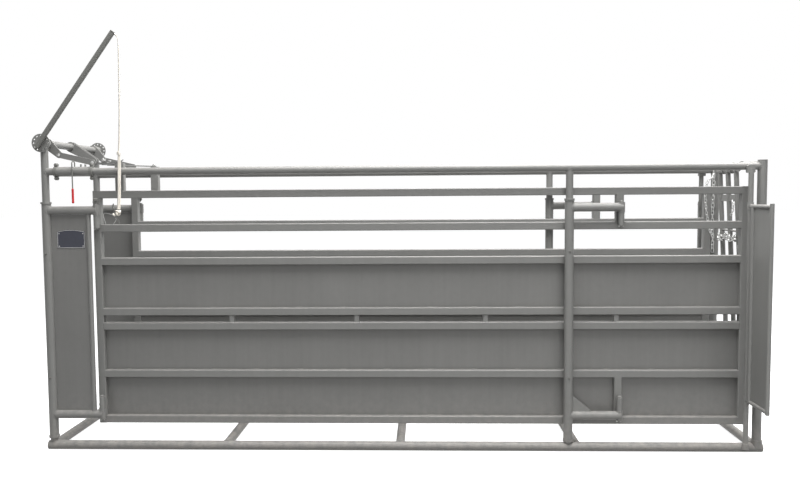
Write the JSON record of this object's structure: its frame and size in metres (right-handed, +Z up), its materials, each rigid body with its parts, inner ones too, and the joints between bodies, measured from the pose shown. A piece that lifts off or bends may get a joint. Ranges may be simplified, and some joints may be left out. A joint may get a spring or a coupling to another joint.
{
  "type": "adjustable livestock alley",
  "caption": "Walk-through cattle alley: barred and sheeted side panels on swing arms in a tube frame, set narrower or wider by a long lever with a pull rope.",
  "frame": {"origin": "floor level, at the middle of the box of the frame, wings and index discs", "axes": "+X along the alley from the lever end to the gate end, +Y from the near side panel to the far one, +Z up"},
  "size_m": [4.837, 1.4604, 2.8111],
  "materials": {
    "grey_paint": "satin",
    "sheet_paint": "satin",
    "lever_paint": "satin",
    "bright_zinc": "zinc",
    "red_grip": "matt",
    "rope_fibre": "laid rope",
    "blank_plate": "plain"
  },
  "bodies": {
    "frame": {"front_base_tube": "grey_paint", "rear_base_tube": "grey_paint", "base_cross_tube_1": "grey_paint", "base_cross_tube_2": "grey_paint", "base_cross_tube_3": "grey_paint", "base_cross_tube_4": "grey_paint", "base_cross_tube_5": "grey_paint", "front_left_post": "grey_paint", "front_middle_post": "grey_paint", "front_right_post": "grey_paint", "rear_left_post": "grey_paint", "rear_middle_post": "grey_paint", "rear_right_post": "grey_paint", "front_top_rail": "grey_paint", "rear_top_rail": "grey_paint", "front_guide_upright": "grey_paint", "rear_guide_upright": "grey_paint", "end_cross_tube": "grey_paint", "left_lock_clamp": "lever_paint", "right_lock_clamp": "lever_paint", "hanging_chain": "bright_zinc"},
    "front_swing": {"front_swing_frame": "grey_paint", "front_swing_sheet": "sheet_paint", "blank_plate": "blank_plate"},
    "rear_swing": {"rear_swing_frame": "grey_paint", "rear_swing_sheet": "sheet_paint"},
    "front_middle": {"front_middle_arms": "grey_paint"},
    "rear_middle": {"rear_middle_arms": "grey_paint"},
    "cross_shaft": {"cross_shaft": "grey_paint", "front_index_disc": "grey_paint", "rear_index_disc": "grey_paint", "lever": "lever_paint", "front_crank_arm": "grey_paint", "rear_crank_arm": "grey_paint", "middle_crank_arm": "grey_paint"},
    "front_lock_link": {"front_lock_link": "grey_paint"},
    "rear_lock_link": {"rear_lock_link": "grey_paint"},
    "yoke": {"yoke_plate": "grey_paint"},
    "front_yoke_link": {"front_yoke_link": "grey_paint"},
    "rear_yoke_link": {"rear_yoke_link": "grey_paint"},
    "rope": {"pull_rope": "rope_fibre", "rope_knot": "rope_fibre"},
    "lock": {"lock_sleeve": "grey_paint", "release_rod": "bright_zinc", "red_grip": "red_grip"},
    "front_wing": {"front_wing_frame": "grey_paint"},
    "rear_wing": {"rear_wing_frame": "grey_paint"},
    "end_gate": {"end_gate": "grey_paint"},
    "front_panel": {"front_panel_frame": "grey_paint", "front_slot_rail": "grey_paint", "front_lower_sheet": "sheet_paint", "front_middle_sheet": "sheet_paint", "front_upper_sheet": "sheet_paint"},
    "rear_panel": {"rear_panel_frame": "grey_paint", "rear_slot_rail": "grey_paint", "rear_lower_sheet": "sheet_paint", "rear_middle_sheet": "sheet_paint", "rear_upper_sheet": "sheet_paint"}
  },
  "joints": [
    {"name": "front_swing", "type": "hinge", "parent": "frame", "child": "front_swing", "pos_m": [-2.3575, -0.38244, 0.93], "axis": [0, 0, 1], "range_deg": [0, 24]},
    {"name": "front_panel", "type": "hinge", "parent": "front_swing", "child": "front_panel", "pos_m": [-2.0175, -0.38244, 0.93], "axis": [0, 0, 1], "range_deg": [-24, 0]},
    {"name": "front_middle", "type": "hinge", "parent": "frame", "child": "front_middle", "pos_m": [1.1375, -0.38244, 0.93], "axis": [0, 0, 1], "range_deg": [0, 24]},
    {"name": "rear_swing", "type": "hinge", "parent": "frame", "child": "rear_swing", "pos_m": [-2.3575, 0.39757, 0.93], "axis": [0, 0, 1], "range_deg": [-24, 0]},
    {"name": "rear_panel", "type": "hinge", "parent": "rear_swing", "child": "rear_panel", "pos_m": [-2.0175, 0.39757, 0.93], "axis": [0, 0, 1], "range_deg": [0, 24]},
    {"name": "rear_middle", "type": "hinge", "parent": "frame", "child": "rear_middle", "pos_m": [1.1375, 0.39757, 0.93], "axis": [0, 0, 1], "range_deg": [-24, 0]},
    {"name": "cross_shaft", "type": "hinge", "parent": "frame", "child": "cross_shaft", "pos_m": [-2.3575, 0.00756, 2.083], "axis": [0, 1, 0], "range_deg": [0, 51]},
    {"name": "front_lock_link", "type": "hinge", "parent": "cross_shaft", "child": "front_lock_link", "pos_m": [-2.27843, -0.34624, 2.00797], "axis": [0, 1, 0], "range_deg": [-62.3, 0]},
    {"name": "rear_lock_link", "type": "hinge", "parent": "cross_shaft", "child": "rear_lock_link", "pos_m": [-2.27843, 0.36136, 2.00797], "axis": [0, 1, 0], "range_deg": [-62.3, 0]},
    {"name": "yoke_slide", "type": "slide", "parent": "frame", "child": "yoke", "axis": [1, 0, 0], "range_m": [-0.137, 0]},
    {"name": "front_yoke_link", "type": "hinge", "parent": "front_panel", "child": "front_yoke_link", "pos_m": [-1.8825, -0.32044, 1.955], "axis": [0, 0, 1], "range_deg": [0, 27.91]},
    {"name": "rear_yoke_link", "type": "hinge", "parent": "rear_panel", "child": "rear_yoke_link", "pos_m": [-1.8825, 0.33557, 1.955], "axis": [0, 0, 1], "range_deg": [-27.91, 0]},
    {"name": "rope_swing", "type": "hinge", "parent": "cross_shaft", "child": "rope", "pos_m": [-1.84165, -0.44843, 2.80088], "axis": [0, 1, 0], "range_deg": [-51, 0]},
    {"name": "lock_release", "type": "hinge", "parent": "frame", "child": "lock", "pos_m": [-2.1545, -0.38244, 1.893], "axis": [-1, 0, 0], "range_deg": [0, 20]},
    {"name": "front_wing", "type": "hinge", "parent": "frame", "child": "front_wing", "pos_m": [2.2935, -0.42389, 1], "axis": [0, 0, 1], "range_deg": [-76, 24]},
    {"name": "rear_wing", "type": "hinge", "parent": "frame", "child": "rear_wing", "pos_m": [2.2935, 0.43901, 1], "axis": [0, 0, 1], "range_deg": [-8, 96]},
    {"name": "end_gate", "type": "hinge", "parent": "frame", "child": "end_gate", "pos_m": [2.3185, 0.00756, 1.88], "axis": [0, 1, 0], "range_deg": [-55, 0]}
  ],
  "couplings": [
    {"joint": "front_panel", "follows": "front_swing", "ratio": -1},
    {"joint": "front_middle", "follows": "front_swing", "ratio": 1},
    {"joint": "rear_swing", "follows": "front_swing", "ratio": -1},
    {"joint": "rear_panel", "follows": "front_swing", "ratio": 1},
    {"joint": "rear_middle", "follows": "front_swing", "ratio": -1},
    {"joint": "cross_shaft", "follows": "front_swing", "ratio": 2.125},
    {"joint": "front_lock_link", "follows": "front_swing", "ratio": -2.592},
    {"joint": "rear_lock_link", "follows": "front_swing", "ratio": -2.592},
    {"joint": "yoke_slide", "follows": "front_swing", "m_per_rad": -0.3266},
    {"joint": "front_yoke_link", "follows": "front_swing", "ratio": 1.1625},
    {"joint": "rear_yoke_link", "follows": "front_swing", "ratio": -1.1625},
    {"joint": "rope_swing", "follows": "front_swing", "ratio": -2.125}
  ]
}
